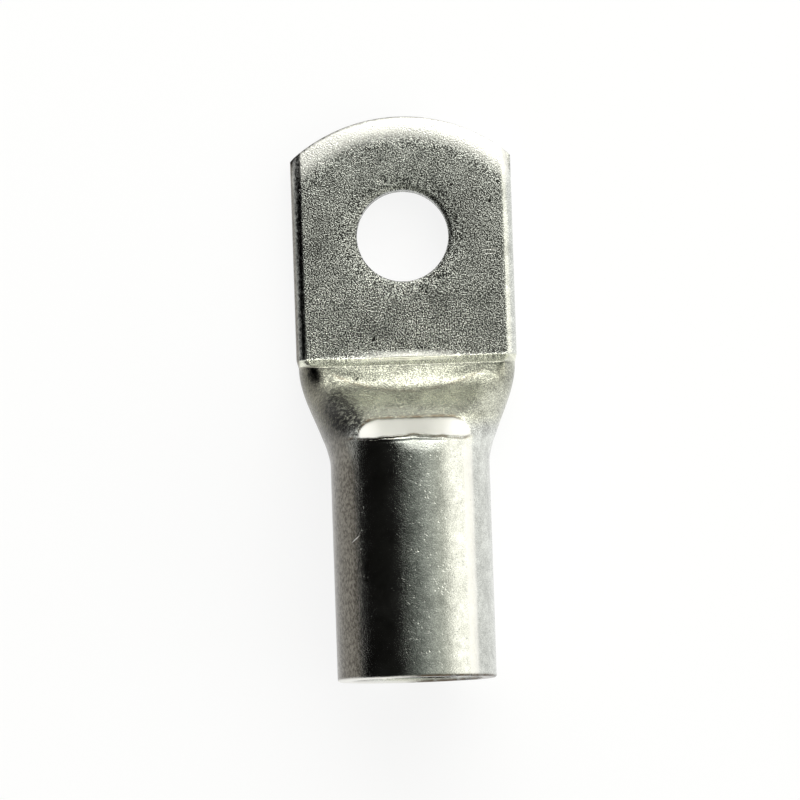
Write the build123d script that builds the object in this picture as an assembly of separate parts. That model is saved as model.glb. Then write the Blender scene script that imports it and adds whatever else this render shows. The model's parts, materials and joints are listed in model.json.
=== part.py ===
from build123d import *
from math import atan2, cos, sin
import os

# A cable lug pressed from one length of tube, in millimetres, +Z up.
# The flattened palm points to +Y and the open barrel to -Y.
# The origin is the middle of the stud hole, on the underside that meets the busbar.

# Barrel: the stretch that stays round and takes the stripped wire.
barrel_od = 14.5
barrel_wall = 1.5
barrel_length = 21.9
bore_depth = 20.9
mouth_edge = 0.25  # chamfer of the cut rim, outside
mouth_flare = 0.35  # chamfer that leads the strands in

# Palm: both walls pressed together and coined flat.
palm_width = 20.2
palm_thickness = 2.8
palm_edge = 0.85  # how far the round folded sides stand out past the flats
hole_to_tip = 11.0
tip_radius = 15.4
tip_roll_width = 1.5  # the shear pulls the top face down towards the cut edge
tip_roll_depth = 0.22

# Stud hole, punched from above.
stud_hole_d = 8.4
hole_roll_width = 0.6  # the punch pulls the top face down into the hole
hole_roll_depth = 0.3
hole_rim_under = 0.2  # chamfer that clears the burr

# Shoulder: the short wall that the coining punch leaves across the tube.
hole_to_shoulder = 10.9
shoulder_run = 0.9
shoulder_height = 4.9
shoulder_width = 19.8
shoulder_widest = 2.1  # height at which the folded flank stands out furthest
shoulder_flat = 16.4  # flats between the folds, above and below

# Neck: from the shoulder's crest back to the end of the round barrel.
neck_length = 7.2
flank_run = 3.1  # the flanks run this far on beside the barrel
neck_early_rise = 0.12  # the part of its height that it gains evenly, not in the middle
neck_curve_end = 0.74  # the neck's rise is cut off here by the valley, before it levels out
ridge_flat = 0.6  # what is left of the flats where the neck has become round
valley_run = 1.9  # from the end of the barrel's top to the foot of its end wall
valley_height = 11.2
valley_flat = 8.0
crest_step = 0.16  # the barrel's end stands this much above its end wall

# Hollow: where the two walls have not met yet.
slit_height = 0.3
slit_width = 13.0
slit_gap = 0.35  # from the shoulder's foot to the closed end of the slit
throat_gap = 0.02  # the hollow starts this much inside the bore

barrel_radius = barrel_od / 2
bore_radius = barrel_radius - barrel_wall
palm_middle = palm_thickness / 2
shoulder_foot = -hole_to_shoulder
shoulder_crest = shoulder_foot - shoulder_run
barrel_end = shoulder_crest - neck_length
neck_run = neck_length + flank_run
valley = (neck_length - valley_run) / neck_run  # as shares of the neck's whole run
crest = neck_length / neck_run
flank_end = shoulder_crest - neck_run
mouth = barrel_end - barrel_length
bore_end = mouth + bore_depth
tuck = 0.08  # how far the flanks' buried ends lie inside the barrel
sink = 0.24  # the same for the top and underside


def mix(first, last, share):
    return first + (last - first) * share


def ease(share):
    """Rises from 0 to 1 with a level start and finish."""
    return share * share * (3 - 2 * share)


def steep_ease(share):
    """The same, with more of the rise in the middle."""
    return share**3 * (10 - 15 * share + 6 * share * share)


def across(y):
    """The plane that cuts the lug squarely at y, with its own x along X and its own y along Z."""
    return Plane(origin=(0, y, 0), x_dir=(1, 0, 0), z_dir=(0, -1, 0))


def section(y, fold):
    """A cross-section of the pressed tube: the right-hand fold, its mirror image, and flats between."""
    under, top = sorted((fold @ 0, fold @ 1), key=lambda end: end.Y)
    flats = Line((-under.X, under.Y), under) + Line((-top.X, top.Y), top)
    return across(y) * make_face(flats + fold + mirror(fold, about=Plane.YZ))


def rib(y, half_width, widest, base, height, flat_under, flat_top):
    """A section whose elliptical folds stand out furthest at the height `widest`.

    The flats below and above are given as half-widths.
    """
    lower = EllipticalCenterArc((flat_under, widest), half_width - flat_under, widest - base, -90)
    upper = EllipticalCenterArc((flat_top, widest), half_width - flat_top, height - widest)
    return section(y, lower + upper)


def ring(y, radius, middle):
    """A round section of the barrel or its bore, with its middle at that height."""
    return across(y) * (Pos(0, middle) * Circle(radius))


def pressed_rise(share):
    """Rises gently, then steeply: how the punch leaves the neck in front of the barrel."""
    return mix(steep_ease(share), share, neck_early_rise)


def neck_height(share):
    """Height of the neck's middle at a share of the way from the shoulder's crest to the flanks' end."""
    wall_top = barrel_od - crest_step
    if share <= valley:
        rise = pressed_rise(neck_curve_end * share / valley) / pressed_rise(neck_curve_end)
        return mix(shoulder_height, valley_height, rise)
    if share <= crest:
        return mix(valley_height, wall_top, (share - valley) / (crest - valley))
    return mix(wall_top, barrel_od - sink, (share - crest) / (1 - crest))


def neck_flat(share):
    """Width of the neck's flat top at such a share."""
    if share <= valley:
        return mix(shoulder_flat, valley_flat, share / valley)
    return mix(valley_flat, ridge_flat, min(1, (share - valley) / (crest - valley)))


def neck_rib(share, inset=0.0, top=None):
    """The neck's section at such a share, or its hollow's section inset from it, with its own top."""
    flat_share = 1 - inset / barrel_radius
    beside = max(0, share - crest) / (1 - crest)
    return rib(
        mix(shoulder_crest, flank_end, share),
        mix(shoulder_width / 2, barrel_radius - tuck, ease(share)) - inset,
        mix(shoulder_widest, barrel_radius, ease(share)),
        sink * beside + inset,
        neck_height(share) if top is None else top,
        mix(shoulder_flat / 2, ridge_flat / 2, ease(share)) * flat_share,
        neck_flat(share) / 2 * flat_share,
    )


def palm_rib(y):
    """The palm's section: two flats and round folded sides."""
    side = (palm_width / 2, palm_middle)
    flat = palm_width / 2 - palm_edge
    lower = TangentArc(side, (flat, 0), tangent=(0, -1))
    upper = TangentArc(side, (flat, palm_thickness), tangent=(0, 1))
    return section(y, lower + upper)


def shear_disc(radius, roll_width, roll_depth):
    """A disc that reaches past both faces of the palm, cut by a shear at that radius.

    Its top edge follows the face that the shear pulls down, outwards if roll_width is above zero.
    """
    flat_edge = (radius + roll_width, palm_thickness)
    cut_edge = (radius, palm_thickness - roll_depth)
    past = 2 * palm_thickness
    roll = TangentArc(flat_edge, cut_edge, tangent=(-roll_width, 0))
    sides = Polyline(cut_edge, (radius, -past), (0, -past), (0, past), (flat_edge[0], past), flat_edge)
    return revolve(Plane.XZ * make_face(roll + sides), Axis.Z)


def palm():
    """Coined plate with folded round sides, sheared to an arc at the tip, with its stud hole."""
    bar = extrude(palm_rib(shoulder_foot), shoulder_foot - hole_to_tip)
    tip_middle = Pos(0, hole_to_tip - tip_radius)
    beyond = tip_middle * Box(2 * palm_width, 2 * tip_radius, 3 * palm_thickness,
                              align=(Align.CENTER, Align.MIN, Align.CENTER))
    kept = tip_middle * shear_disc(tip_radius, -tip_roll_width, tip_roll_depth)
    punched = shear_disc(stud_hole_d / 2, hole_roll_width, hole_roll_depth)
    plate = bar - (beyond - kept) - punched
    under_rim = plate.faces().filter_by(Plane.XY).sort_by(Axis.Z)[0].inner_wires()[0]
    return chamfer(under_rim.edges(), hole_rim_under)


def shoulder():
    """The punch's mark: a steep wall from the palm's face up to a crisp crest."""
    return loft([palm_rib(shoulder_foot), neck_rib(0)], ruled=True)


def ribs(start, end, steps):
    """The neck's sections between two shares."""
    return [neck_rib(mix(start, end, i / steps)) for i in range(steps + 1)]


def neck():
    """The tube between flat and round: its ramp, the barrel's end wall, and the flanks beside the barrel."""
    return loft(ribs(0, valley, 6)) + loft(ribs(valley, crest, 1), ruled=True) + loft(ribs(crest, 1, 3))


def below(height):
    """Everything lower than that, as the flat lower die takes it away."""
    side = 2 * palm_width
    return Pos(0, barrel_end, height) * Box(
        side, side, side, align=(Align.CENTER, Align.CENTER, Align.MAX))


def barrel():
    """Round tube with a chamfered cut rim."""
    body = extrude(ring(mouth, barrel_radius, barrel_radius), -barrel_length)
    rim = body.edges().sort_by(Axis.Y)[0]
    return chamfer(rim, mouth_edge)


def hollow_rib(share):
    """The neck's hollow: the wall keeps its thickness square to the slope of the neck's top."""
    step = 0.01
    rise = neck_height(share + step) - neck_height(share - step)
    slope = atan2(rise, 2 * step * neck_run)
    behind = share + barrel_wall * sin(slope) / neck_run
    return neck_rib(behind, barrel_wall, neck_height(share) - barrel_wall * cos(slope))


def hollow():
    """The bore, and the space in the neck that narrows to a slit between the pressed walls."""
    bore = extrude(ring(mouth, bore_radius, barrel_radius), -bore_depth)
    flare = extrude(ring(mouth, bore_radius + mouth_flare, barrel_radius), -mouth_flare, taper=45)
    slit_flat = slit_width / 2 - slit_height
    slit = rib(shoulder_foot - slit_gap, slit_width / 2, palm_middle,
               palm_middle - slit_height / 2, palm_middle + slit_height / 2, slit_flat, slit_flat)
    shares = (0.05, 0.25, 0.45, 0.6)  # stations of the neck that the hollow follows
    closing = [slit] + [hollow_rib(share) for share in shares]
    radius = bore_radius - throat_gap
    throat = rib(bore_end, radius, barrel_radius, barrel_radius - radius,
                 barrel_radius + radius, ridge_flat / 2, ridge_flat / 2)
    return bore + flare + loft(closing + [throat], ruled=True)


lug = palm() + shoulder() + (neck() - below(0)) + barrel() - hollow()

os.makedirs("parts", exist_ok=True)
export_step(lug, "parts/cable_lug.step")
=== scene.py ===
import json
import math

import bmesh
import bpy
import numpy as np
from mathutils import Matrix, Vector, noise


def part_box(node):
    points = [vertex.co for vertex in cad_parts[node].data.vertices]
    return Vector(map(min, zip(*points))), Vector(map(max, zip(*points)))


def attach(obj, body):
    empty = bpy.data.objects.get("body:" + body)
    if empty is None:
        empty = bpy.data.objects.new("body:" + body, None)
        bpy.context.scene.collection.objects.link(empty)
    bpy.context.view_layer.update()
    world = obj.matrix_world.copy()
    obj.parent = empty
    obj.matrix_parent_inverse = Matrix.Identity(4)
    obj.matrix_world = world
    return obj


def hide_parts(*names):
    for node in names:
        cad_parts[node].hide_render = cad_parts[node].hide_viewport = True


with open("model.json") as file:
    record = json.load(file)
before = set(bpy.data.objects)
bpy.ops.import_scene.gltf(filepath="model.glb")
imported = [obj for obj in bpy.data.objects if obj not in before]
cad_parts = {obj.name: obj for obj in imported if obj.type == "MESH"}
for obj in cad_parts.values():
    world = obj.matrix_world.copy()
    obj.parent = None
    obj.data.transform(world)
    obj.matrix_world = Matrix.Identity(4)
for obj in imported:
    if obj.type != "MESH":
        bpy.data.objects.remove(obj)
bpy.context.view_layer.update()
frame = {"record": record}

# The shape is worked out in millimetres and put into the scene in metres.
mm = 0.001
low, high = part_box("cable_lug")
mounts = {m["name"]: m for m in frame["record"]["mounts"]}
print("frame loaded")


def mix(a, b, share):
    return a + (b - a) * share


def ease(share):
    return share * share * (3 - 2 * share)


def steepEase(share):
    return share**3 * (10 - 15 * share + 6 * share * share)


def ramp(value, start, end):
    # 0 at start, 1 at end, smooth between; start may be the greater
    return ease(np.clip((value - start) / (end - start), 0, 1))


def bell(distance, width):
    return np.exp(-((distance / width) ** 2))


# The lug's sizes, in millimetres.
lug = dict(
    tip=high.y / mm,
    mouth=low.y / mm,
    palmHalf=high.x / mm,
    barrelRadius=high.z / mm / 2,
    boreRadius=mounts["wire_barrel"]["dims"]["r_mm"],
    holeRadius=mounts["stud_hole"]["dims"]["r_mm"],
    palmThickness=2.8,
    palmEdge=0.85,          # how far the folded sides stand out past the flats
    tipRadius=15.4,
    tipRollWidth=1.5,       # the shear pulls the top face down
    tipRollDepth=0.22,
    tipBevel=0.05,
    holeRollWidth=0.6,
    holeRollDepth=0.3,
    holeRimUnder=0.2,
    shoulderFoot=-11.15,
    shoulderRun=0.75,
    shoulderHeight=4.9,
    shoulderHalf=9.9,
    shoulderWidest=2.1,     # height where the flank stands out furthest
    shoulderFlat=8.2,
    creaseWidth=0.3,        # how far a crease is rounded over
    neckLength=7.15,
    neckRun=10.2,
    neckEarlyRise=0.12,
    neckCurveEnd=0.74,      # the rise is cut off here by the valley
    ridgeFlat=0.3,
    valleyRun=1.75,
    valleyHeight=11.2,
    valleyFlat=4.0,
    crestStep=0.16,         # the barrel stands this much above its end wall
    lipRun=0.2,             # the barrel's end slopes down over this length
    lipSlope=3,
    tuck=0.08,              # the flanks end this far inside the barrel
    sink=0.24,              # the same for the neck's top
    flankBlend=0.002,       # how softly the neck meets the barrel, low down and high up
    ridgeBlend=0.04,
    boreEnd=-20.0,
    hollowShares=(0.6, 0.45, 0.25, 0.05),   # where the hollow follows the neck
    slit=-11.25,            # the closed end of the gap between the walls
    slitHalf=6.5,
    slitHeight=0.3,
    mouthEdge=0.25,
    mouthFlare=0.35,
)
shoulderCrest = lug["shoulderFoot"] - lug["shoulderRun"]
barrelEnd = shoulderCrest - lug["neckLength"]
flankEnd = shoulderCrest - lug["neckRun"]
valley = (lug["neckLength"] - lug["valleyRun"]) / lug["neckRun"]   # as shares of the neck's run
crest = lug["neckLength"] / lug["neckRun"]
valleyFoot = barrelEnd + lug["valleyRun"]
barrelTop = 2 * lug["barrelRadius"]
wallTop = barrelTop - lug["crestStep"]
palmMiddle = lug["palmThickness"] / 2
palmFlat = lug["palmHalf"] - lug["palmEdge"]
arcMiddle = lug["tip"] - lug["tipRadius"]

# how finely the skin is divided
grid = dict(
    flat=54,        # from the middle of a flat to the fold
    fold=32,        # round one fold
    curve=60,       # points that a fold's curve is read from
    crease=5,       # sections that a crease is averaged from
    patchHalf=32,   # columns each side of the stud hole that are laid out round it
    patchReach=5.5,
    rings=5,        # between that square patch and the hole
    roll=6,         # round the hole's rolled edge
    tipRows=26,
    tipCrowding=0.35,   # the rows get closer together towards the tip
    capRows=10,
)
half = 2 * grid["flat"] + grid["fold"]
loop = 2 * half


def pressedRise(share):
    return mix(steepEase(share), share, lug["neckEarlyRise"])


def neckHeight(share):
    # the ramp in front of the valley, the end wall behind it, then inside the barrel
    rise = pressedRise(lug["neckCurveEnd"] * share / valley) / pressedRise(lug["neckCurveEnd"])
    slope = mix(lug["shoulderHeight"], lug["valleyHeight"], rise)
    wall = mix(lug["valleyHeight"], wallTop, (share - valley) / (crest - valley))
    inside = mix(wallTop, barrelTop - lug["sink"], (share - crest) / (1 - crest))
    return np.where(share <= valley, slope, np.where(share <= crest, wall, inside))


def neckFlat(share):
    slope = mix(lug["shoulderFlat"], lug["valleyFlat"], share / valley)
    wall = mix(lug["valleyFlat"], lug["ridgeFlat"], np.clip((share - valley) / (crest - valley), 0, 1))
    return np.where(share <= valley, slope, wall)


def crispSizes(y):
    # half width, height where widest, base, height, flat under, flat on top
    share = np.clip((shoulderCrest - y) / lug["neckRun"], 0, 1)
    beside = np.clip((share - crest) / (1 - crest), 0, 1)
    neck = np.stack([
        mix(lug["shoulderHalf"], lug["barrelRadius"] - lug["tuck"], ease(share)),
        mix(lug["shoulderWidest"], lug["barrelRadius"], ease(share)),
        lug["sink"] * beside,
        neckHeight(share),
        mix(lug["shoulderFlat"], lug["ridgeFlat"], ease(share)),
        neckFlat(share),
    ], -1)
    palm = np.array([lug["palmHalf"], palmMiddle, 0, lug["palmThickness"], palmFlat, palmFlat])
    down = np.clip((lug["shoulderFoot"] - y) / lug["shoulderRun"], 0, 1)
    return mix(palm, neck, down[..., None])


def foldCurve(a, b, roundness):
    # from the flank's widest point to the flat: an arc on the palm, an ellipse on the neck
    s = np.linspace(0, 1, grid["curve"])
    ellipse = np.stack([a * (1 - np.cos(s * math.pi / 2)), b * np.sin(s * math.pi / 2)])
    side = min(a, b)
    radius = (side * side + b * b) / (2 * side)
    turn = s * math.asin(min(1, b / radius))
    arc = np.stack([radius * (1 - np.cos(turn)), radius * np.sin(turn)])
    return mix(arc, ellipse, roundness)


def halfSection(sizes, roundness, evenness):
    # points from the middle of the underside round the right flank to the middle of the top
    halfWidth, widest, base, height, flatUnder, flatTop = sizes
    lower = foldCurve(halfWidth - flatUnder, widest - base, roundness)[:, ::-1]
    upper = foldCurve(halfWidth - flatTop, height - widest, roundness)
    xs = np.concatenate([[0], halfWidth - lower[0], halfWidth - upper[0][1:], [0]])
    zs = np.concatenate([[base], widest - lower[1], widest + upper[1][1:], [height]])
    along = np.concatenate([[0], np.cumsum(np.hypot(np.diff(xs), np.diff(zs)))])
    foldStart, foldEnd = along[1], along[-2]
    index = np.arange(half + 1)
    knots = [0, grid["flat"], grid["flat"] + grid["fold"], half]
    byParts = np.interp(index, knots, [0, foldStart, foldEnd, along[-1]])
    byLength = index / half * along[-1]
    where = mix(byParts, byLength, evenness)
    return np.interp(where, along, xs), np.interp(where, along, zs)


def mirrored(xs, zs):
    # the whole loop, from the half on the right
    return np.concatenate([xs, -xs[-2:0:-1]]), np.concatenate([zs, zs[-2:0:-1]])


def smoothMax(a, b, width):
    near = np.maximum(width - np.abs(a - b), 0) / width
    return np.maximum(a, b) + near * near * width / 4


def withBarrel(y, xs, zs, widest):
    # the section and the barrel's ring as one outline, seen from a middle inside both
    if y > barrelEnd + lug["lipRun"]:
        return xs, zs
    lip = max(y - barrelEnd, 0) * lug["lipSlope"]
    radius = middle = lug["barrelRadius"] - lip / 2
    away = np.hypot(xs, zs - widest)
    ux, uz = xs / away, (zs - widest) / away
    lean = uz * (middle - widest)
    reach = lean + np.sqrt(np.maximum(lean**2 - (middle - widest) ** 2 + radius**2, 1e-9))
    if y > barrelEnd:
        reach = np.where(uz > 0, reach, 0)
    far = smoothMax(away, reach, mix(lug["flankBlend"], lug["ridgeBlend"], ramp(uz, -0.3, 0.2)))
    return far * ux, widest + far * uz


def pressedLoop(y):
    share = min(max((shoulderCrest - y) / lug["neckRun"], 0), 1)
    roundness = min(max((lug["shoulderFoot"] - y) / lug["shoulderRun"], 0), 1)
    xs, zs = halfSection(crispSizes(np.array([y]))[0], roundness, ease(share))
    return np.stack([xs, zs])


wallEnds = pressedLoop(valleyFoot), pressedLoop(barrelEnd)


def crispLoop(y):
    # the end wall is ruled straight between its two ends
    if barrelEnd < y < valleyFoot:
        return mix(wallEnds[0], wallEnds[1], (valleyFoot - y) / lug["valleyRun"])
    return pressedLoop(y)


def outerLoop(y):
    if y < flankEnd:
        angle = np.arange(half + 1) / half * math.pi
        xs = lug["barrelRadius"] * np.sin(angle)
        zs = lug["barrelRadius"] * (1 - np.cos(angle))
    else:
        # the creases across the tube get a small radius
        steps = np.linspace(-0.5, 0.5, grid["crease"]) * lug["creaseWidth"]
        xs, zs = np.mean([crispLoop(y + step) for step in steps], axis=0)
        xs, zs = withBarrel(y, xs, zs, crispSizes(np.array([y]))[0][1])
    return mirrored(xs, zs)


def rollDrop(into, width, depth):
    # how far a face lies below its flat where a shear has pulled it down
    curve = (width**2 + depth**2) / (2 * depth)
    return curve - np.sqrt(curve**2 - into**2)


def spread(stops):
    # places along the lug, from (place, spacing) pairs
    places = [stops[0][0]]
    for (start, gapStart), (end, gapEnd) in zip(stops, stops[1:]):
        count = max(1, round(abs(end - start) / ((gapStart + gapEnd) / 2)))
        share = np.arange(1, count + 1) / count
        bend = (gapEnd - gapStart) / (gapEnd + gapStart)
        share = share * (1 - bend) + share * share * bend
        places += list(mix(start, end, share))
    return np.array(places)


stations = spread([
    (lug["mouth"] + lug["mouthEdge"], 0.1),
    (lug["mouth"] + 3, 0.45),
    (flankEnd - 1.9, 0.4),
    (barrelEnd - 0.95, 0.12),
    (barrelEnd - 0.25, 0.06),
    (barrelEnd + 0.2, 0.03),
    (barrelEnd + 0.75, 0.09),
    (valleyFoot + 0.7, 0.07),
    (shoulderCrest - 1.1, 0.13),
    (shoulderCrest - 0.3, 0.07),
    (lug["shoulderFoot"] + 0.95, 0.06),
    (lug["shoulderFoot"] + 2.15, 0.25),
    (-grid["patchReach"], 0.22),
    (grid["patchReach"], 0.22),
])
patchStart = int(np.argmin(np.abs(stations + grid["patchReach"])))
patchEnd = len(stations) - 1
print("stations", len(stations), "columns", loop)


class Skin:
    # the lug's vertices, added row by row, and the faces between them
    def __init__(self):
        self.points = []
        self.faces = []

    def count(self):
        return sum(len(p) for p in self.points)

    def row(self, xs, ys, zs):
        first = self.count()
        ys = np.broadcast_to(ys, xs.shape)
        self.points.append(np.stack([xs, ys, zs], -1))
        return np.arange(first, first + len(xs))

    def band(self, a, b, closed=True):
        # quads between two rows of the same length
        count = len(a) if closed else len(a) - 1
        for i in range(count):
            j = (i + 1) % len(a)
            corners = [a[i], a[j], b[j], b[i]]
            corners = [c for k, c in enumerate(corners) if c != corners[k - 1]]
            if len(corners) > 2:
                self.faces.append([int(c) for c in corners])


skin = Skin()


def tubeRows():
    # from the mouth to the far side of the stud hole
    rows = []
    for y in stations:
        xs, zs = outerLoop(y)
        rows.append(skin.row(xs, y, zs))
    return rows


def tipRows():
    # on to the tip, bending to the sheared arc while the top face rolls over
    xs, zs = outerLoop(stations[-1])
    arc = arcMiddle + np.sqrt((lug["tipRadius"] - lug["tipBevel"]) ** 2 - xs**2)
    above = np.clip((zs - palmMiddle) / palmMiddle, 0, 1)
    crowding = grid["tipCrowding"]
    rows = []
    for k in range(1, grid["tipRows"] + 1):
        share = k / grid["tipRows"]
        share = share * (1 + crowding) - share * share * crowding
        ys = mix(stations[-1], arc, share)
        inward = lug["tipRadius"] - np.hypot(xs, ys - arcMiddle)
        into = np.clip(lug["tipRollWidth"] - inward, 0, None)
        drop = rollDrop(into, lug["tipRollWidth"], lug["tipRollDepth"])
        rows.append(skin.row(xs, ys, zs - drop * above))
    return rows


def coverTube():
    # faces between the rows, with a square left open round the stud hole, above and below
    columns = range(half - grid["patchHalf"], half + grid["patchHalf"])
    holed = {c % loop for c in columns} | {(c - half) % loop for c in columns}
    for j, (a, b) in enumerate(zip(outer, outer[1:])):
        if not patchStart <= j < patchEnd:
            skin.band(a, b)
            continue
        for c in range(loop):
            if c not in holed:
                d = (c + 1) % loop
                skin.faces.append([int(a[c]), int(a[d]), int(b[d]), int(b[c])])


outer = tubeRows() + tipRows()
coverTube()

# pairs of columns that lie over each other, from the left edge to the right
under = [i % loop for i in range(-half // 2, half // 2 + 1)]
over = [(half - i) % loop for i in range(-half // 2, half // 2 + 1)]


def shearedFace():
    # the cut at the tip, with a faint line where the two walls meet
    seamDepth, seamHalf = 0.1, 0.07    # half height as a share of the thickness
    edgeFade = 0.4
    edge = outer[-1]
    edgePoints = skin.points[-1]
    previous = edge[over]
    for k in range(1, grid["capRows"]):
        share = k / grid["capRows"]
        xs = edgePoints[over, 0]
        zs = mix(edgePoints[over, 2], edgePoints[under, 2], share)
        seam = seamDepth * np.exp(-((share - 0.5) / seamHalf) ** 2)
        shrink = np.clip((lug["palmHalf"] - np.abs(xs)) / edgeFade, 0, 1)
        radius = lug["tipRadius"] - lug["tipBevel"] + shrink * (lug["tipBevel"] - seam)
        ys = arcMiddle + np.sqrt(radius**2 - xs**2)
        row = skin.row(xs[1:-1], ys[1:-1], zs[1:-1])
        row = np.concatenate([[edge[over[0]]], row, [edge[over[-1]]]])
        skin.band(previous, row, closed=False)
        previous = row
    skin.band(previous, edge[under], closed=False)


def holeProfile():
    # each ring's radius, its height, and how far it has gone from the square patch to a circle
    radius, rollWidth, rollDepth = lug["holeRadius"], lug["holeRollWidth"], lug["holeRollDepth"]
    top, rim = lug["palmThickness"], lug["holeRimUnder"]
    seamHalf, seamDepth = 0.06, 0.05
    shares = [k / grid["rings"] for k in range(1, grid["rings"] + 1)]
    profile = [(radius + rollWidth, top, share) for share in shares]
    for k in range(1, grid["roll"] + 1):
        into = rollWidth * k / grid["roll"]
        profile.append((radius + rollWidth - into, top - rollDrop(into, rollWidth, rollDepth), 1))
    profile.append((radius, top - rollDepth - 0.08, 1))
    profile.append((radius, palmMiddle + seamHalf, 1))
    profile.append((radius + seamDepth, palmMiddle, 1))
    profile.append((radius, palmMiddle - seamHalf, 1))
    profile.append((radius, rim + 0.05, 1))
    for k in range(5):
        turn = k / 4 * math.pi / 2
        profile.append((radius + rim * (1 - math.cos(turn)), rim * (1 - math.sin(turn)), 1))
    return profile + [(radius + rim, 0, share) for share in shares[-2::-1]]


def studHole():
    left, right = half - grid["patchHalf"], half + grid["patchHalf"]
    corners = [(left, patchStart), (right, patchStart), (right, patchEnd), (left, patchEnd)]
    border = []
    for (c0, r0), (c1, r1) in zip(corners, corners[1:] + corners[:1]):
        count = max(abs(c1 - c0), abs(r1 - r0))
        border += [(c0 + (c1 - c0) * k // count, r0 + (r1 - r0) * k // count) for k in range(count)]
    above = np.array([outer[r][c % loop] for c, r in border])
    below = np.array([outer[r][(half - c) % loop] for c, r in border])
    square = np.concatenate(skin.points)[above][:, :2]
    angles = np.arctan2(square[:, 1], square[:, 0])
    circle = np.stack([np.cos(angles), np.sin(angles)], -1)
    previous = above
    for radius, z, share in holeProfile():
        place = mix(square, circle * radius, share)
        row = skin.row(place[:, 0], place[:, 1], np.full(len(place), z))
        skin.band(previous, row)
        previous = row
    skin.band(previous, below)


def boreProfile():
    # each ring's radius and place, from the cut rim's outer edge to the end of the bore
    edge, mouth, inside = lug["mouthEdge"], lug["mouth"], lug["mouth"] + lug["mouthFlare"]
    profile = []
    for k in range(1, 6):
        turn = k / 5 * math.pi / 2
        radius = lug["barrelRadius"] - edge * (1 - math.cos(turn))
        profile.append((radius, mouth + edge * (1 - math.sin(turn))))
    flare = lug["boreRadius"] + lug["mouthFlare"]
    profile += [(mix(radius, flare, share), mouth) for share in (0.3, 0.7)]
    profile += [(flare + 0.03, mouth), (flare - 0.04, mouth + 0.04)]
    profile += [(lug["boreRadius"] + 0.03, inside - 0.03)]
    return profile + [(lug["boreRadius"], y) for y in spread([(inside + 0.05, 0.4), (lug["boreEnd"], 1.6)])]


def hollowStops():
    # places and sizes of the sections between which the hollow narrows to the slit
    wall = lug["barrelRadius"] - lug["boreRadius"]
    flatShare = 1 - wall / lug["barrelRadius"]
    step = 0.01
    places = [lug["boreEnd"]]
    sizes = [[lug["boreRadius"], lug["barrelRadius"], wall, 2 * lug["barrelRadius"] - wall,
              lug["ridgeFlat"], lug["ridgeFlat"]]]
    for share in lug["hollowShares"]:
        # the wall keeps its thickness square to the slope of the neck's top
        rise = neckHeight(share + step) - neckHeight(share - step)
        slope = math.atan2(rise, 2 * step * lug["neckRun"])
        behind = share + wall * math.sin(slope) / lug["neckRun"]
        y = shoulderCrest - behind * lug["neckRun"]
        outside = crispSizes(np.array([y]))[0]
        height = float(neckHeight(share)) - wall * math.cos(slope)
        places.append(y)
        sizes.append([outside[0] - wall, outside[1], wall, height,
                      outside[4] * flatShare, outside[5] * flatShare])
    slitFlat = lug["slitHalf"] - lug["slitHeight"]
    places.append(lug["slit"])
    sizes.append([lug["slitHalf"], palmMiddle, palmMiddle - lug["slitHeight"] / 2,
                  palmMiddle + lug["slitHeight"] / 2, slitFlat, slitFlat])
    return np.array(places), np.array(sizes)


def mouthAndHollow():
    angle = np.arange(loop) / loop * 2 * math.pi
    previous = outer[0]
    for radius, y in boreProfile():
        row = skin.row(radius * np.sin(angle), y, lug["barrelRadius"] - radius * np.cos(angle))
        skin.band(previous, row)
        previous = row
    places, sizes = hollowStops()
    for y in spread([(lug["boreEnd"] + 0.3, 0.4), (lug["slit"], 0.4)]):
        xs, zs = halfSection([np.interp(y, places, column) for column in sizes.T], 1, 1)
        xs, zs = mirrored(xs, zs)
        row = skin.row(xs, y, zs)
        skin.band(previous, row)
        previous = row
    skin.band(previous[over], previous[under], closed=False)


shearedFace()
studHole()
outsideCount = skin.count()
mouthAndHollow()
print("skin", skin.count(), "points", len(skin.faces), "faces")

# Small forms that the press leaves, added to the outside of the skin.
relief = dict(
    footRise=0.22,      # the palm's face curves up to the shoulder in the middle
    footHalf=4.2,
    smileDeep=-14.5,    # the brow above this curved line bulges
    smileSides=2.1,
    smileHalf=7.4,
    smileBulge=0.1,
    smileDent=0.3,      # the ramp below the line is pressed in this far
    valleyLine=-17.25,
    valleyMiddle=0.5,
    valleyHalf=3.1,     # straight so far, then curved
    valleyCorner=2.0,
    valleyCornerRun=1.6,
    valleyGroove=0.09,
    crestDroop=0.22,    # the barrel's end sinks towards its crest, on the right
    crestGroove=0.09,
    crestWave=0.07,
    tipSag=0.34,        # the face falls away towards the sheared tip
    tipSagWidth=3.7,
    cornerSag=0.16,     # and more at its corners
    cornerSagWidth=4.4,
    nub=0.22,           # a small lump at the shoulder's right-hand end
    nubPlace=(8.9, -12.15),
    nubWidth=0.3,
    holeSag=0.09,       # the face falls a little towards the hole
    holeSagWidth=1.6,
    unevenness=0.02,
)


def smileLine(x):
    return relief["smileDeep"] + relief["smileSides"] * (x / relief["smileHalf"]) ** 2


def valleyLine(x):
    away = np.abs(x - relief["valleyMiddle"]) - relief["valleyHalf"]
    beyond = np.clip(away / relief["valleyCorner"], 0, 1)
    return relief["valleyLine"] - relief["valleyCornerRun"] * (1 - np.sqrt(1 - beyond**2))


def crestLine(x):
    wave = np.sin(0.9 * x + 1.1) + 0.45 * np.sin(2.3 * x + 0.4) + 0.25 * np.sin(4.7 * x)
    return barrelEnd + relief["crestWave"] * wave


def fromTip(x, y):
    # how far inside the sheared arc
    return lug["tipRadius"] - np.hypot(x, y - arcMiddle)


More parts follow.
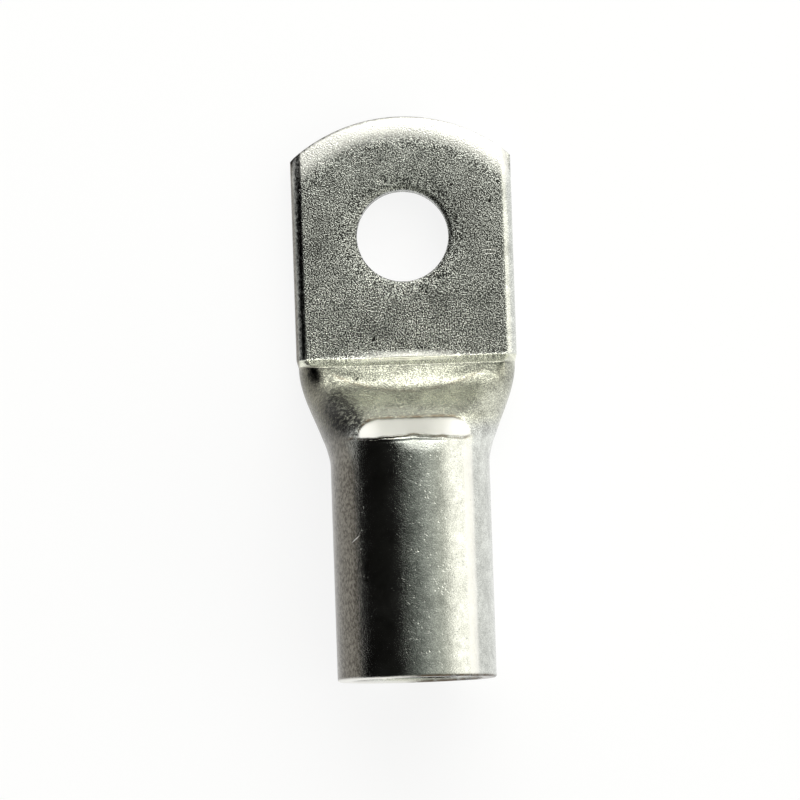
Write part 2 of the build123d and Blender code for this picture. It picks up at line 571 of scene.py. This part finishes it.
def pressed(points):
    x, y, z = points[:, 0], points[:, 1], points[:, 2]
    side = np.abs(x)

    # the foot of the shoulder
    highest = lug["shoulderFoot"] - 0.3
    foot = ramp(y, lug["shoulderFoot"] + 0.75, highest) * (1 - ramp(y, highest, shoulderCrest - 0.05))
    dz = relief["footRise"] * bell(x, relief["footHalf"]) * foot

    # the neck: a brow above the smile line, a dent below it, a groove at the valley
    inSmile = ramp(1 - side / relief["smileHalf"], 0, 0.55)
    down = (shoulderCrest - y) / np.maximum(shoulderCrest - smileLine(x), 0.1)
    dz += relief["smileBulge"] * np.sin(math.pi * np.clip(down, 0, 1)) * inSmile
    past = ramp(y, relief["smileDeep"] + 0.1, relief["smileDeep"] - 1.9)
    dz -= relief["smileDent"] * ramp(down, 0.3, 1.05) * (1 - past) * inSmile
    dz -= relief["valleyGroove"] * bell(y - valleyLine(x), 0.13) * ramp(side, 5.6, 4.4)

    # the barrel's end: it sinks a little, and two grooves run beside the crest
    top = ramp(side, 5.9, 4.9)
    droop = ramp(y, barrelEnd - 1.55, barrelEnd + 0.05) * (y < barrelEnd)
    dz -= relief["crestDroop"] * droop * top * ramp(x, -1.6, 1.2)
    dz -= relief["crestGroove"] * bell(y - barrelEnd + 0.16, 0.07) * top
    dz -= 0.6 * relief["crestGroove"] * bell(y - barrelEnd + 0.48, 0.09) * top
    dy = (crestLine(x) - barrelEnd) * bell(y - barrelEnd, 0.7) * top

    # the palm: it falls away at the tip, its corners and the hole
    inward = fromTip(x, y)
    dz -= relief["tipSag"] * np.clip(1 - inward / relief["tipSagWidth"], 0, 1) ** 2 * (y > 0)
    corner = bell(lug["palmHalf"] - 0.8 - side, 3.6) * (y > 0)
    dz -= relief["cornerSag"] * corner * np.clip(1 - inward / relief["cornerSagWidth"], 0, 1) ** 2
    nubX, nubY = relief["nubPlace"]
    dz += relief["nub"] * bell(np.hypot(x - nubX, (y - nubY) * 0.8), relief["nubWidth"])
    fromHole = np.hypot(x, y) - lug["holeRadius"] - lug["holeRollWidth"]
    dz -= relief["holeSag"] * np.clip(1 - fromHole / relief["holeSagWidth"], 0, 1) ** 2

    # all of it on the upper half only
    share = np.clip((shoulderCrest - y) / lug["neckRun"], 0, 1)
    tall = np.where(y > lug["shoulderFoot"], lug["palmThickness"], neckHeight(share))
    up = ramp(z / tall, 0.55, 0.85)
    moved = points.copy()
    moved[:, 1] += dy * up
    moved[:, 2] += dz * up
    return moved


def uneven(points):
    # hardly seen by itself, but it bends what the metal mirrors
    moved = points.copy()
    for i, (x, y, z) in enumerate(points):
        wave = noise.noise(Vector((x * 0.35, y * 0.22, z * 0.35)))
        wave += 0.4 * noise.noise(Vector((x * 0.9, y * 0.6 + 40, z * 0.9)))
        deep = relief["unevenness"] * (wave - 1) / 2
        if y < barrelEnd:
            away = math.hypot(x, z - lug["barrelRadius"])
            moved[i, 0] += deep * x / away
            moved[i, 2] += deep * (z - lug["barrelRadius"]) / away
        elif z > palmMiddle:
            moved[i, 2] += deep
    return moved


def makePiece(name, points, faces):
    mesh = bpy.data.meshes.new(name)
    mesh.from_pydata([tuple(p) for p in points * mm], [], faces)
    work = bmesh.new()
    work.from_mesh(mesh)
    bmesh.ops.recalc_face_normals(work, faces=work.faces)
    work.to_mesh(mesh)
    work.free()
    mesh.polygons.foreach_set("use_smooth", [True] * len(mesh.polygons))
    piece = bpy.data.objects.new(name, mesh)
    bpy.context.scene.collection.objects.link(piece)
    return piece


crispPoints = np.concatenate(skin.points)
shaped = crispPoints.copy()
shaped[:outsideCount] = uneven(pressed(crispPoints[:outsideCount]))
shaped[:, 0] = np.clip(shaped[:, 0], -lug["palmHalf"], lug["palmHalf"])
shaped[:, 1] = np.clip(shaped[:, 1], lug["mouth"], lug["tip"])
shaped[:, 2] = np.clip(shaped[:, 2], 0, high.z / mm)
lugPiece = makePiece("tinned_lug", shaped, skin.faces)
print("piece made")

# How much of each finish, painted shade and painted highlight a part of the lug has, from 0 to 1.
finishAndPaintedLight = dict(
    grain=dict(palm=1, lessAtTip=0.18, neck=0.45, folds=0.3, tip=0.6, barrel=0.2, shoulder=0.12, wall=0.06),
    # painted shade on the left flank, for the shadowed floor it mirrors: where it begins and is full, as
    # shares of the half width, then how much
    leftFlankShade=dict(atShoulder=(0.7, 0.95), atBarrel=(0.5, 0.74), shoulder=0.75, barrel=1),
    # brown painted shade along the crest, valley and smile creases and on the mouth rim's right half
    creaseAndRimShade=dict(crest=0.8, valley=0.75, smile=0.45, rim=0.9),
    # painted highlights where the metal mirrors bright lamps and floor: the end wall, the tip, a stripe
    # along the barrel, the mouth rim's left half and the shoulder's foot
    paintedHighlight=dict(tip=0.8, barrelStripe=0.75, foot=0.6),
    dents=dict(barrelLeft=0.35, barrel=1, palm=0.6),
    # painted shade and painted reflections of dark places: a darker neck, brow and barrel, a dark middle
    # along the barrel and the left fold, dark lines at the shoulder's crest and the valley, the mouth rim's
    # right half and underside, and the tip's edge
    paintedShade=dict(neck=0.08, brow=0.24, barrel=0.09, ridge=0.3, shoulderCrest=0.55, valley=0.6,
               leftFold=0.9, rimRight=0.9, rimUnder=0.7, tipEdge=0.75),
    # patches of painted shade and painted dark reflections on the palm and neck
    paintedShadePatches=[
        dict(x=5.8, y=2.4, wide=1.7, long=2.4, much=0.22),
        dict(x=3.2, y=-6.0, wide=3.2, long=1.0, much=0.25),
        dict(x=-2.0, y=-8.9, wide=1.6, long=0.9, much=0.25),
        dict(x=-7.6, y=0.2, wide=1.5, long=2.4, much=0.22),
        dict(x=-6.6, y=-7.6, wide=2.2, long=1.2, much=0.15),
        dict(x=7.6, y=-8.8, wide=1.2, long=1.6, much=0.22),
        dict(x=-6.1, y=-16.9, wide=1.7, long=2.1, much=1.25),
        dict(x=-6.6, y=-15.4, wide=1.2, long=1.1, much=0.6),
        dict(x=-5.0, y=-17.6, wide=1.2, long=0.8, much=0.6),
        dict(x=5.6, y=-16.0, wide=1.2, long=1.5, much=0.3),
        dict(x=-8.6, y=-12.6, wide=0.7, long=0.7, much=0.6),
        dict(x=-7.1, y=-13.1, wide=1.2, long=0.8, much=0.35),
        dict(x=7.5, y=-13.0, wide=1.2, long=0.8, much=0.3),
    ],
)


def zonesOf(x, y, z):
    # the parts of the lug that the finish and the painted light follow
    foot, valleyHeight, palmTop = lug["shoulderFoot"], lug["valleyHeight"], lug["palmThickness"]
    wall = ramp(valleyLine(x) - y, 0, 0.2) * ramp(y, barrelEnd - 0.05, barrelEnd + 0.15)
    wall *= ramp(z, valleyHeight - 1.7, valleyHeight - 0.2)
    wall *= ramp(np.abs(x - relief["valleyMiddle"]), 5.2, 4.9)
    return dict(
        palm=y > foot,
        tipHalf=y > 0,
        shoulder=ramp(y, foot + 0.1, foot - 0.15) * ramp(y, shoulderCrest - 0.1, shoulderCrest + 0.1),
        valley=ramp(z, valleyHeight - 2.2, valleyHeight - 0.7) * ramp(np.abs(x), 5.4, 4),
        wall=wall,      # the barrel's end wall
        barrel=ramp(y, barrelEnd + 0.45, barrelEnd - 0.35),
        rim=ramp(y, lug["mouth"] + 0.3, lug["mouth"] + 0.05),
        top=ramp(z, palmTop - 1, palmTop - 0.2),
        inward=fromTip(x, y),
        across=x / lug["barrelRadius"],
    )


def grainMask(x, y, z, zone):
    much = finishAndPaintedLight["grain"]
    grain = np.where(zone["palm"], much["palm"] - much["lessAtTip"] * ramp(y, 1.5, 7), much["neck"])
    grain = mix(grain, much["folds"], ramp(np.abs(x), palmFlat - 0.1, palmFlat + 0.1) * zone["palm"])
    grain = mix(grain, much["tip"], ramp(zone["inward"], 1.6, 0.8) * zone["palm"] * zone["tipHalf"])
    for part in ("barrel", "shoulder", "wall"):
        grain = mix(grain, much[part], zone[part])
    return grain


# painted shade along the left flank and the palm's left fold, for the shadowed floor they mirror
def leftFlankShadeMask(x, y, z, zone):
    much = finishAndPaintedLight["leftFlankShade"]
    neckStart = shoulderCrest + 0.1
    share = np.clip((shoulderCrest - y) / lug["neckRun"], 0, 1)
    flank = -x / mix(lug["shoulderHalf"], lug["barrelRadius"], ease(share))
    begins, full = (mix(much["atShoulder"][k], much["atBarrel"][k], share) for k in (0, 1))
    leftFlankShade = ramp(flank, begins, full) * mix(much["shoulder"], much["barrel"], share) * (y < neckStart)
    return leftFlankShade + ramp(x, -palmFlat - 0.45, -palmFlat - 0.7) * (y >= neckStart)


# brown painted shade along the creases and on the right half of the mouth's rim
def creaseAndRimShadeMask(x, y, z, zone):
    much = finishAndPaintedLight["creaseAndRimShade"]
    atCrest = ramp(z, lug["valleyHeight"] - 0.7, lug["valleyHeight"] + 1.3) * ramp(np.abs(x), 6.2, 5)
    inSmile = ramp(np.abs(x), relief["smileHalf"], relief["smileHalf"] - 1.4)
    creaseAndRimShade = much["crest"] * bell(y - crestLine(x) + 0.1, 0.14) * atCrest
    creaseAndRimShade += much["valley"] * bell(y - valleyLine(x) - 0.05, 0.2) * zone["valley"]
    creaseAndRimShade += much["smile"] * bell(y - smileLine(x), 0.2) * inSmile
    return creaseAndRimShade + much["rim"] * zone["rim"] * ramp(x, -1.5, 1.0)


# painted highlights: the end wall, the tip, a stripe along the barrel's right, the left half of the mouth's
# rim and the shoulder's foot
def paintedHighlightMask(x, y, z, zone):
    much = finishAndPaintedLight["paintedHighlight"]
    paintedHighlight = zone["wall"] + much["tip"] * ramp(zone["inward"], 2.6, 1.1) * zone["tipHalf"] * zone["top"]
    stripe = much["barrelStripe"] * ramp(zone["across"], 0.64, 0.69) * ramp(zone["across"], 0.8, 0.76)
    paintedHighlight += stripe * ramp(y, barrelEnd - 0.35, barrelEnd - 1.55)
    paintedHighlight += zone["rim"] * ramp(x, 1.0, -1.0)
    foot = lug["shoulderFoot"]
    risen = ramp(y, foot + 0.75, foot + 0.25) * ramp(y, foot - 0.45, foot - 0.25)
    return paintedHighlight + much["foot"] * bell(x, relief["footHalf"]) * risen * zone["top"]


# painted shade: darker neck, brow and barrel, mirrored dark places, dark lines at creases, the shadowed rim
# and tip edge, and dark patches
def paintedShadeMask(x, y, z, zone):
    much = finishAndPaintedLight["paintedShade"]
    top = zone["top"]
    neck = ramp(y, shoulderCrest + 0.1, shoulderCrest - 0.4) * ramp(y, valleyFoot - 0.1, valleyFoot + 0.3)
    brow = ramp(y, shoulderCrest, shoulderCrest - 0.6)
    brow *= ramp(y, relief["smileDeep"] - 0.4, relief["smileDeep"] + 0.5)
    paintedShade = much["neck"] * neck + much["brow"] * brow * top
    ridge = much["ridge"] * bell(zone["across"] + 0.02, 0.22)
    paintedShade += (much["barrel"] + ridge * top) * ramp(y, barrelEnd - 0.55, barrelEnd - 2.45)
    atCrest = ramp(z, lug["shoulderHeight"] - 1.1, lug["shoulderHeight"] - 0.3)
    paintedShade += much["shoulderCrest"] * bell(y - shoulderCrest + 0.16, 0.1) * atCrest
    paintedShade += much["valley"] * bell(y - valleyLine(x) - 0.1, 0.16) * zone["valley"]
    leftFold = much["leftFold"] * ramp(x, 0.1 - palmFlat, -palmFlat)
    paintedShade += leftFold * ramp(x, -palmFlat - 0.66, -palmFlat - 0.54) * top * zone["palm"]
    paintedShade += much["rimRight"] * zone["rim"] * ramp(x, -1.0, 1.5)
    paintedShade += much["rimUnder"] * zone["rim"] * ramp(z, 0.9, 0.3)
    paintedShade += much["tipEdge"] * ramp(zone["inward"], 0.26, 0.1) * zone["tipHalf"] * ramp(x, 9, -2)
    for patch in finishAndPaintedLight["paintedShadePatches"]:
        apart = np.hypot((x - patch["x"]) / patch["wide"], (y - patch["y"]) / patch["long"])
        paintedShade = paintedShade + patch["much"] * bell(apart, 1.0) * top * (1 - zone["wall"])
    return paintedShade


def oliveMask(x, y, z, zone):
    foot = lug["shoulderFoot"]
    olive = ramp(y, foot + 0.15, foot - 0.15) * ramp(y, barrelEnd + 0.45, barrelEnd + 2.05)
    return olive * (1 - zone["wall"])


def dentsMask(x, y, z, zone):
    much = finishAndPaintedLight["dents"]
    barrel = mix(much["barrelLeft"], much["barrel"], ramp(zone["across"], -0.25, 0.1))
    return barrel * zone["barrel"] + much["palm"] * zone["palm"]


def addMasks(piece, points):
    x, y, z = points[:, 0], points[:, 1], points[:, 2]
    zone = zonesOf(x, y, z)
    # masks: grain, dents and an olive tint, and painted shade and painted highlights
    masks = dict(grain=grainMask, leftFlankShade=leftFlankShadeMask, creaseAndRimShade=creaseAndRimShadeMask, paintedHighlight=paintedHighlightMask,
                 paintedShade=paintedShadeMask, olive=oliveMask, dents=dentsMask)
    for name, maskOf in masks.items():
        mask = piece.data.attributes.new(name, "FLOAT", "POINT")
        mask.data.foreach_set("value", np.clip(maskOf(x, y, z, zone), 0, 1).astype(np.float32))


addMasks(lugPiece, crispPoints)
print("masks added")


class Nodes:
    # a material and short ways to add to its nodes
    def __init__(self, name):
        self.material = bpy.data.materials.new(name)
        self.material.use_nodes = True
        self.tree = self.material.node_tree
        self.shader = self.tree.nodes["Principled BSDF"]

    def add(self, kind, **values):
        node = self.tree.nodes.new(kind)
        for key, value in values.items():
            if key in node.inputs.keys():
                node.inputs[key].default_value = value
            else:
                setattr(node, key, value)
        return node

    def link(self, a, b):
        self.tree.links.new(a, b)

    def math(self, operation, a, b, c=None):
        node = self.add("ShaderNodeMath", operation=operation)
        for socket, value in zip(node.inputs, (a, b, c)):
            if value is None:
                continue
            if isinstance(value, (int, float)):
                socket.default_value = value
            else:
                self.link(value, socket)
        return node.outputs[0]

    def noise(self, vector, scale, detail=2, rough=0.5):
        node = self.add("ShaderNodeTexNoise", Scale=scale, Detail=detail, Roughness=rough)
        self.link(vector, node.inputs["Vector"])
        return node.outputs["Fac"]

    def stretched(self, vector, x, y, z):
        node = self.add("ShaderNodeMapping", Scale=(x, y, z))
        self.link(vector, node.inputs["Vector"])
        return node.outputs[0]

    def between(self, value, start, end, atStart=0, atEnd=1):
        node = self.add("ShaderNodeMapRange", interpolation_type="SMOOTHSTEP")
        self.link(value, node.inputs["Value"])
        ends = {"From Min": start, "From Max": end, "To Min": atStart, "To Max": atEnd}
        for name, number in ends.items():
            node.inputs[name].default_value = number
        return node.outputs[0]

    def around(self, value, depth, level):
        # adds the value, taken about its middle, to a level
        return self.math("MULTIPLY_ADD", self.math("SUBTRACT", value, 0.5), depth, level)

    def colours(self, share, first, second, blend="MIX"):
        node = self.add("ShaderNodeMix", data_type="RGBA", blend_type=blend)
        for socket, value in ((node.inputs[0], share), (node.inputs[6], first), (node.inputs[7], second)):
            if isinstance(value, tuple):
                socket.default_value = value
            else:
                self.link(value, socket)
        return node.outputs[2]

    def mask(self, name):
        return self.add("ShaderNodeAttribute", attribute_name=name).outputs["Fac"]


# The tin's colours, the colours of its painted shade and painted highlights, and its grain as sizes in
# features to the metre and depths as shares.
tinned = dict(
    pale=(0.92, 0.94, 0.885, 1),
    dark=(0.035, 0.037, 0.033, 1),
    # painted shade on the left flank in two tones, dark painted shade (also the pits' colour), brown
    # painted shade, and the painted highlight (also the scratches' colour)
    flankShade=(0.22, 0.205, 0.175, 1),
    flankShadeDark=(0.10, 0.09, 0.075, 1),
    shadeAndPitDark=(0.022, 0.022, 0.02, 1),
    brownShade=(0.12, 0.085, 0.05, 1),
    highlightAndScratchPale=(0.97, 0.96, 0.915, 1),
    olive=(1.0, 0.99, 0.88, 1),     # tints the neck
    grainSize=8600,
    grainEdges=(0.44, 0.6),     # the noise between dark and pale grains
    grainPivot=1.04,
    tone=0.87,                  # 1 is pale all over
    cloudSize=420,
    cloudDepth=0.7,
    patchSize=1500,
    patchDepth=0.55,
    fleckSize=4200,             # in the painted shade on the left flank
    spotSize=3200,              # in the painted shade
    scratchShine=0.5,
    smooth=0.15,          # roughness of the barrel
    matt=0.24,            # roughness of the palm
    cloudRough=0.1,
    highlightRough=0.2,
    reliefDepth=0.00009,  # metres
    patchRelief=0.13,
    streakSize=2600,
    streakLength=0.05,    # how much the noise is drawn out along the barrel
    streakRelief=0.04,
    dimpleSize=2600,
    dimpleRelief=-0.4,
    pitRelief=-0.8,
    scratchRelief=-0.2,
    marks=[               # scratches, which are pale, and pits, in millimetres
        dict(x=4.6, y=4.5, z=2.8, turn=20, long=0.42, wide=0.26, pale=False),
        dict(x=8.05, y=2.9, z=2.8, turn=70, long=0.5, wide=0.26, pale=False),
        dict(x=-3.0, y=-9.5, z=2.8, turn=60, long=0.6, wide=0.26, pale=False),
        dict(x=-5.7, y=6.0, z=2.8, turn=50, long=1.3, wide=0.14, pale=True),
        dict(x=-7.1, y=6.9, z=2.8, turn=-15, long=0.9, wide=0.14, pale=True),
        dict(x=8.0, y=-1.55, z=2.8, turn=2, long=1.7, wide=0.13, pale=True),
        dict(x=8.0, y=-1.9, z=2.8, turn=2, long=1.5, wide=0.11, pale=True),
        dict(x=-1.9, y=5.0, z=2.8, turn=-20, long=0.9, wide=0.13, pale=True),
        dict(x=-9.3, y=4.4, z=2.4, turn=60, long=0.5, wide=0.4, pale=True),
        dict(x=-4.6, y=-13.2, z=6.0, turn=60, long=0.5, wide=0.2, pale=False),
        dict(x=-5.2, y=-28.2, z=12.5, turn=40, long=1.1, wide=0.14, pale=True),
    ],
    markReach=1.5,        # how far a mark reaches up and down
)


def markMask(m, place, pale):
    total = 0.0
    for mark in tinned["marks"]:
        if mark["pale"] != pale:
            continue
        spot = m.add("ShaderNodeMapping", vector_type="TEXTURE")
        spot.inputs["Location"].default_value = [mark[axis] * mm for axis in "xyz"]
        spot.inputs["Rotation"].default_value = (0, 0, math.radians(mark["turn"]))
        reach = (mark["long"] / 2 * mm, mark["wide"] / 2 * mm, tinned["markReach"] * mm)
        spot.inputs["Scale"].default_value = reach
        m.link(place, spot.inputs["Vector"])
        away = m.add("ShaderNodeVectorMath", operation="LENGTH")
        m.link(spot.outputs[0], away.inputs[0])
        total = m.math("MAXIMUM", m.between(away.outputs["Value"], 0.5, 1.1, 1, 0), total)
    return total


def tinnedMaterial():
    m = Nodes("tinned_copper")
    m.shader.inputs["Metallic"].default_value = 1
    place = m.add("ShaderNodeTexCoord").outputs["Object"]
    grain, leftFlankShade, creaseAndRimShade, paintedHighlight = (m.mask(name) for name in ("grain", "leftFlankShade", "creaseAndRimShade", "paintedHighlight"))
    paintedShade, olive, dents = (m.mask(name) for name in ("paintedShade", "olive", "dents"))
    scratches = markMask(m, place, True)
    pits = markMask(m, place, False)

    # colour: fine salt and pepper, soft clouds, then painted shade on the left flank, painted highlights,
    # dark painted shade and brown painted shade in creases
    fine = m.noise(place, tinned["grainSize"], 2, 0.6)
    salt = m.between(fine, *tinned["grainEdges"])
    cloud = m.noise(place, tinned["cloudSize"], 4, 0.6)
    patch = m.noise(place, tinned["patchSize"], 3, 0.6)
    salt = m.math("SUBTRACT", salt, tinned["grainPivot"])
    tone = m.math("MULTIPLY_ADD", salt, grain, tinned["tone"])
    tone = m.around(cloud, tinned["cloudDepth"], tone)
    tone = m.around(patch, tinned["patchDepth"], tone)
    colour = m.colours(tone, tinned["dark"], tinned["pale"])
    # flecked painted shade on the left flank
    fleck = m.noise(m.stretched(place, 1, 0.7, 1), tinned["fleckSize"], 3, 0.65)
    flankShadeColour = m.colours(m.between(fleck, 0.38, 0.6), tinned["flankShadeDark"], tinned["flankShade"])
    colour = m.colours(leftFlankShade, colour, flankShadeColour)
    # painted highlights
    colour = m.colours(paintedHighlight, colour, tinned["highlightAndScratchPale"])
    colour = m.colours(olive, colour, tinned["olive"], "MULTIPLY")
    # dark painted shade, broken up by spots
    spots = m.between(m.noise(place, tinned["spotSize"], 3, 0.7), 0.38, 0.62, 0.7, 1.15)
    colour = m.colours(m.math("MULTIPLY", paintedShade, spots), colour, tinned["shadeAndPitDark"])
    # brown painted shade in creases and on the rim
    broken = m.between(m.noise(place, tinned["patchSize"], 3), 0.3, 0.6)
    colour = m.colours(m.math("MULTIPLY", creaseAndRimShade, broken), colour, tinned["brownShade"])
    shine = m.math("MULTIPLY", scratches, tinned["scratchShine"])
    colour = m.colours(shine, colour, tinned["highlightAndScratchPale"])
    colour = m.colours(pits, colour, tinned["shadeAndPitDark"])
    m.link(colour, m.shader.inputs["Base Color"])

    # roughness
    rough = m.math("MULTIPLY_ADD", grain, tinned["matt"] - tinned["smooth"], tinned["smooth"])
    rough = m.around(cloud, tinned["cloudRough"], rough)
    rough = m.math("MULTIPLY_ADD", paintedHighlight, tinned["highlightRough"], rough)
    m.link(rough, m.shader.inputs["Roughness"])

    # relief: grain, dimples, and streaks drawn along the barrel
    cells = m.add("ShaderNodeTexVoronoi", Scale=tinned["dimpleSize"])
    m.link(place, cells.inputs["Vector"])
    dimple = m.between(cells.outputs["Distance"], 0.0, 0.3, 1, 0)
    chosen = m.between(m.noise(place, 900, 2), 0.44, 0.6)
    deep = m.math("MULTIPLY", dents, tinned["dimpleRelief"])
    dimples = m.math("MULTIPLY", m.math("MULTIPLY", dimple, chosen), deep)
    streak = m.noise(m.stretched(place, 1, tinned["streakLength"], 1), tinned["streakSize"], 2)
    heights = m.math("MULTIPLY", fine, grain)
    heights = m.math("MULTIPLY_ADD", patch, tinned["patchRelief"], heights)
    heights = m.math("MULTIPLY_ADD", streak, tinned["streakRelief"], heights)
    heights = m.math("ADD", heights, dimples)
    heights = m.math("MULTIPLY_ADD", pits, tinned["pitRelief"], heights)
    heights = m.math("MULTIPLY_ADD", scratches, tinned["scratchRelief"], heights)
    bump = m.add("ShaderNodeBump", Strength=1, Distance=tinned["reliefDepth"])
    m.link(heights, bump.inputs["Height"])
    m.link(bump.outputs["Normal"], m.shader.inputs["Normal"])
    return m.material


lugPiece.data.materials.append(tinnedMaterial())
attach(lugPiece, "root")
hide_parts("cable_lug")
print("material made")

# Floor, sky and lamps; bearing 0 is +X and 90 is +Y, angles in degrees, sizes in metres.
studio = dict(
    floorRadius=3,
    floorColour=(0.18, 0.18, 0.18, 1),
    floorGlow=0.865,
    skyLean=20,     # the sky's darkest place leans so far to the left
    sky=[           # from the horizon up, by the cosine of the angle to that place
        (0.15, (0.78, 0.77, 0.68, 1)),
        (0.574, (0.50, 0.52, 0.465, 1)),
        (0.80, (0.33, 0.352, 0.322, 1)),
        (0.883, (0.205, 0.224, 0.203, 1)),
        (0.94, (0.145, 0.16, 0.145, 1)),
        (0.974, (0.08, 0.088, 0.08, 1)),
        (0.992, (0.025, 0.027, 0.024, 1)),
    ],
    lamps=[
        dict(name="front_softbox", bearing=90, elevation=41, distance=1.5, width=2.6, height=2.2,
             radiance=1.05, colour=(1, 0.995, 0.95)),
        dict(name="front_strip", bearing=90, elevation=25, distance=1.45, width=1.8, height=0.5,
             radiance=3.4, colour=(1, 1, 0.97)),
        dict(name="right_softbox", bearing=0, elevation=18.5, distance=1.4, width=2.6, height=0.94,
             radiance=0.75, colour=(1, 0.98, 0.93)),
    ],
    lampTarget=(0, -0.015, 0.005),
    cardColour=(0.01, 0.01, 0.01, 1),
    cardCorners=[(-1.2, -1.6, 0), (-1.2, 2.0, 0), (-0.3, 2.0, 1.15), (-0.3, -1.6, 1.15)],
)


def makeFloor():
    # near white to the camera and in the metal, and otherwise a plain grey floor
    bpy.ops.mesh.primitive_circle_add(vertices=96, radius=studio["floorRadius"], fill_type="NGON",
                                      location=(0, 0, 0))
    floor = bpy.context.object
    floor.name = "floor"
    m = Nodes("pale_floor")
    m.shader.inputs["Base Color"].default_value = studio["floorColour"]
    m.shader.inputs["Roughness"].default_value = 0.9
    m.shader.inputs["Specular IOR Level"].default_value = 0
    rays = m.add("ShaderNodeLightPath").outputs
    seen = m.math("MAXIMUM", rays["Is Camera Ray"], rays["Is Glossy Ray"])
    seen = m.math("MAXIMUM", seen, rays["Is Transmission Ray"])
    glow = m.math("MULTIPLY", seen, studio["floorGlow"])
    m.shader.inputs["Emission Color"].default_value = (1, 1, 1, 1)
    m.link(glow, m.shader.inputs["Emission Strength"])
    floor.data.materials.append(m.material)


def makeSky():
    world = bpy.data.worlds.new("studio")
    bpy.context.scene.world = world
    world.use_nodes = True
    tree = world.node_tree
    place = tree.nodes.new("ShaderNodeTexCoord")
    near = tree.nodes.new("ShaderNodeVectorMath")
    near.operation = "DOT_PRODUCT"
    lean = math.radians(studio["skyLean"])
    near.inputs[1].default_value = (-math.sin(lean), 0, math.cos(lean))
    blend = tree.nodes.new("ShaderNodeValToRGB")
    for position, colour in studio["sky"]:
        stop = blend.color_ramp.elements.new(position)
        stop.color = colour
    blend.color_ramp.elements.remove(blend.color_ramp.elements[0])
    blend.color_ramp.elements.remove(blend.color_ramp.elements[-1])
    tree.links.new(place.outputs["Generated"], near.inputs[0])
    tree.links.new(near.outputs["Value"], blend.inputs[0])
    tree.links.new(blend.outputs[0], tree.nodes["Background"].inputs["Color"])


def aim(thing, target):
    direction = Vector(target) - thing.location
    thing.rotation_mode = "QUATERNION"
    thing.rotation_quaternion = direction.to_track_quat("-Z", "Y")


def softbox(name, bearing, elevation, distance, width, height, radiance, colour):
    a, e = math.radians(bearing), math.radians(elevation)
    data = bpy.data.lights.new(name, "AREA")
    data.shape = "RECTANGLE"
    data.size, data.size_y = width, height
    data.energy = radiance * math.pi * width * height
    data.color = colour
    lamp = bpy.data.objects.new(name, data)
    lamp.location = Vector((math.cos(a) * math.cos(e), math.sin(a) * math.cos(e), math.sin(e))) * distance
    aim(lamp, studio["lampTarget"])
    lamp.visible_camera = False
    bpy.context.scene.collection.objects.link(lamp)


def darkCard():
    # mirrored as the black band along the barrel's left
    mesh = bpy.data.meshes.new("left_card")
    mesh.from_pydata(studio["cardCorners"], [], [[0, 1, 2, 3]])
    card = bpy.data.objects.new("left_card", mesh)
    m = Nodes("left_card")
    m.shader.inputs["Base Color"].default_value = studio["cardColour"]
    m.shader.inputs["Specular IOR Level"].default_value = 0
    mesh.materials.append(m.material)
    card.visible_camera = False
    bpy.context.scene.collection.objects.link(card)


makeFloor()
makeSky()
for lamp in studio["lamps"]:
    softbox(**lamp)
darkCard()
print("studio made")

# The camera has a long lens and looks from above, leaning a little towards the mouth.
view = dict(
    distance=0.95,
    lean=3.67,       # degrees towards the mouth
    roll=-1.9,       # degrees; the barrel's end goes to the right
    width=0.0731,    # metres across the picture
    centre=(-0.00073, -0.01517, 0.004),
)


def makeCamera():
    data = bpy.data.cameras.new("camera")
    data.sensor_width = 36
    data.lens = data.sensor_width * view["distance"] / view["width"]
    data.clip_start, data.clip_end = 0.01, 10
    camera = bpy.data.objects.new("camera", data)
    lean = math.radians(view["lean"])
    centre = Vector(view["centre"])
    camera.location = centre + Vector((0, -math.sin(lean), math.cos(lean))) * view["distance"]
    aim(camera, centre)
    camera.rotation_mode = "XYZ"
    camera.rotation_euler.rotate_axis("Z", math.radians(view["roll"]))
    bpy.context.scene.collection.objects.link(camera)
    bpy.context.scene.camera = camera


makeCamera()
bpy.context.scene.view_settings.view_transform = "Standard"
print("camera set")
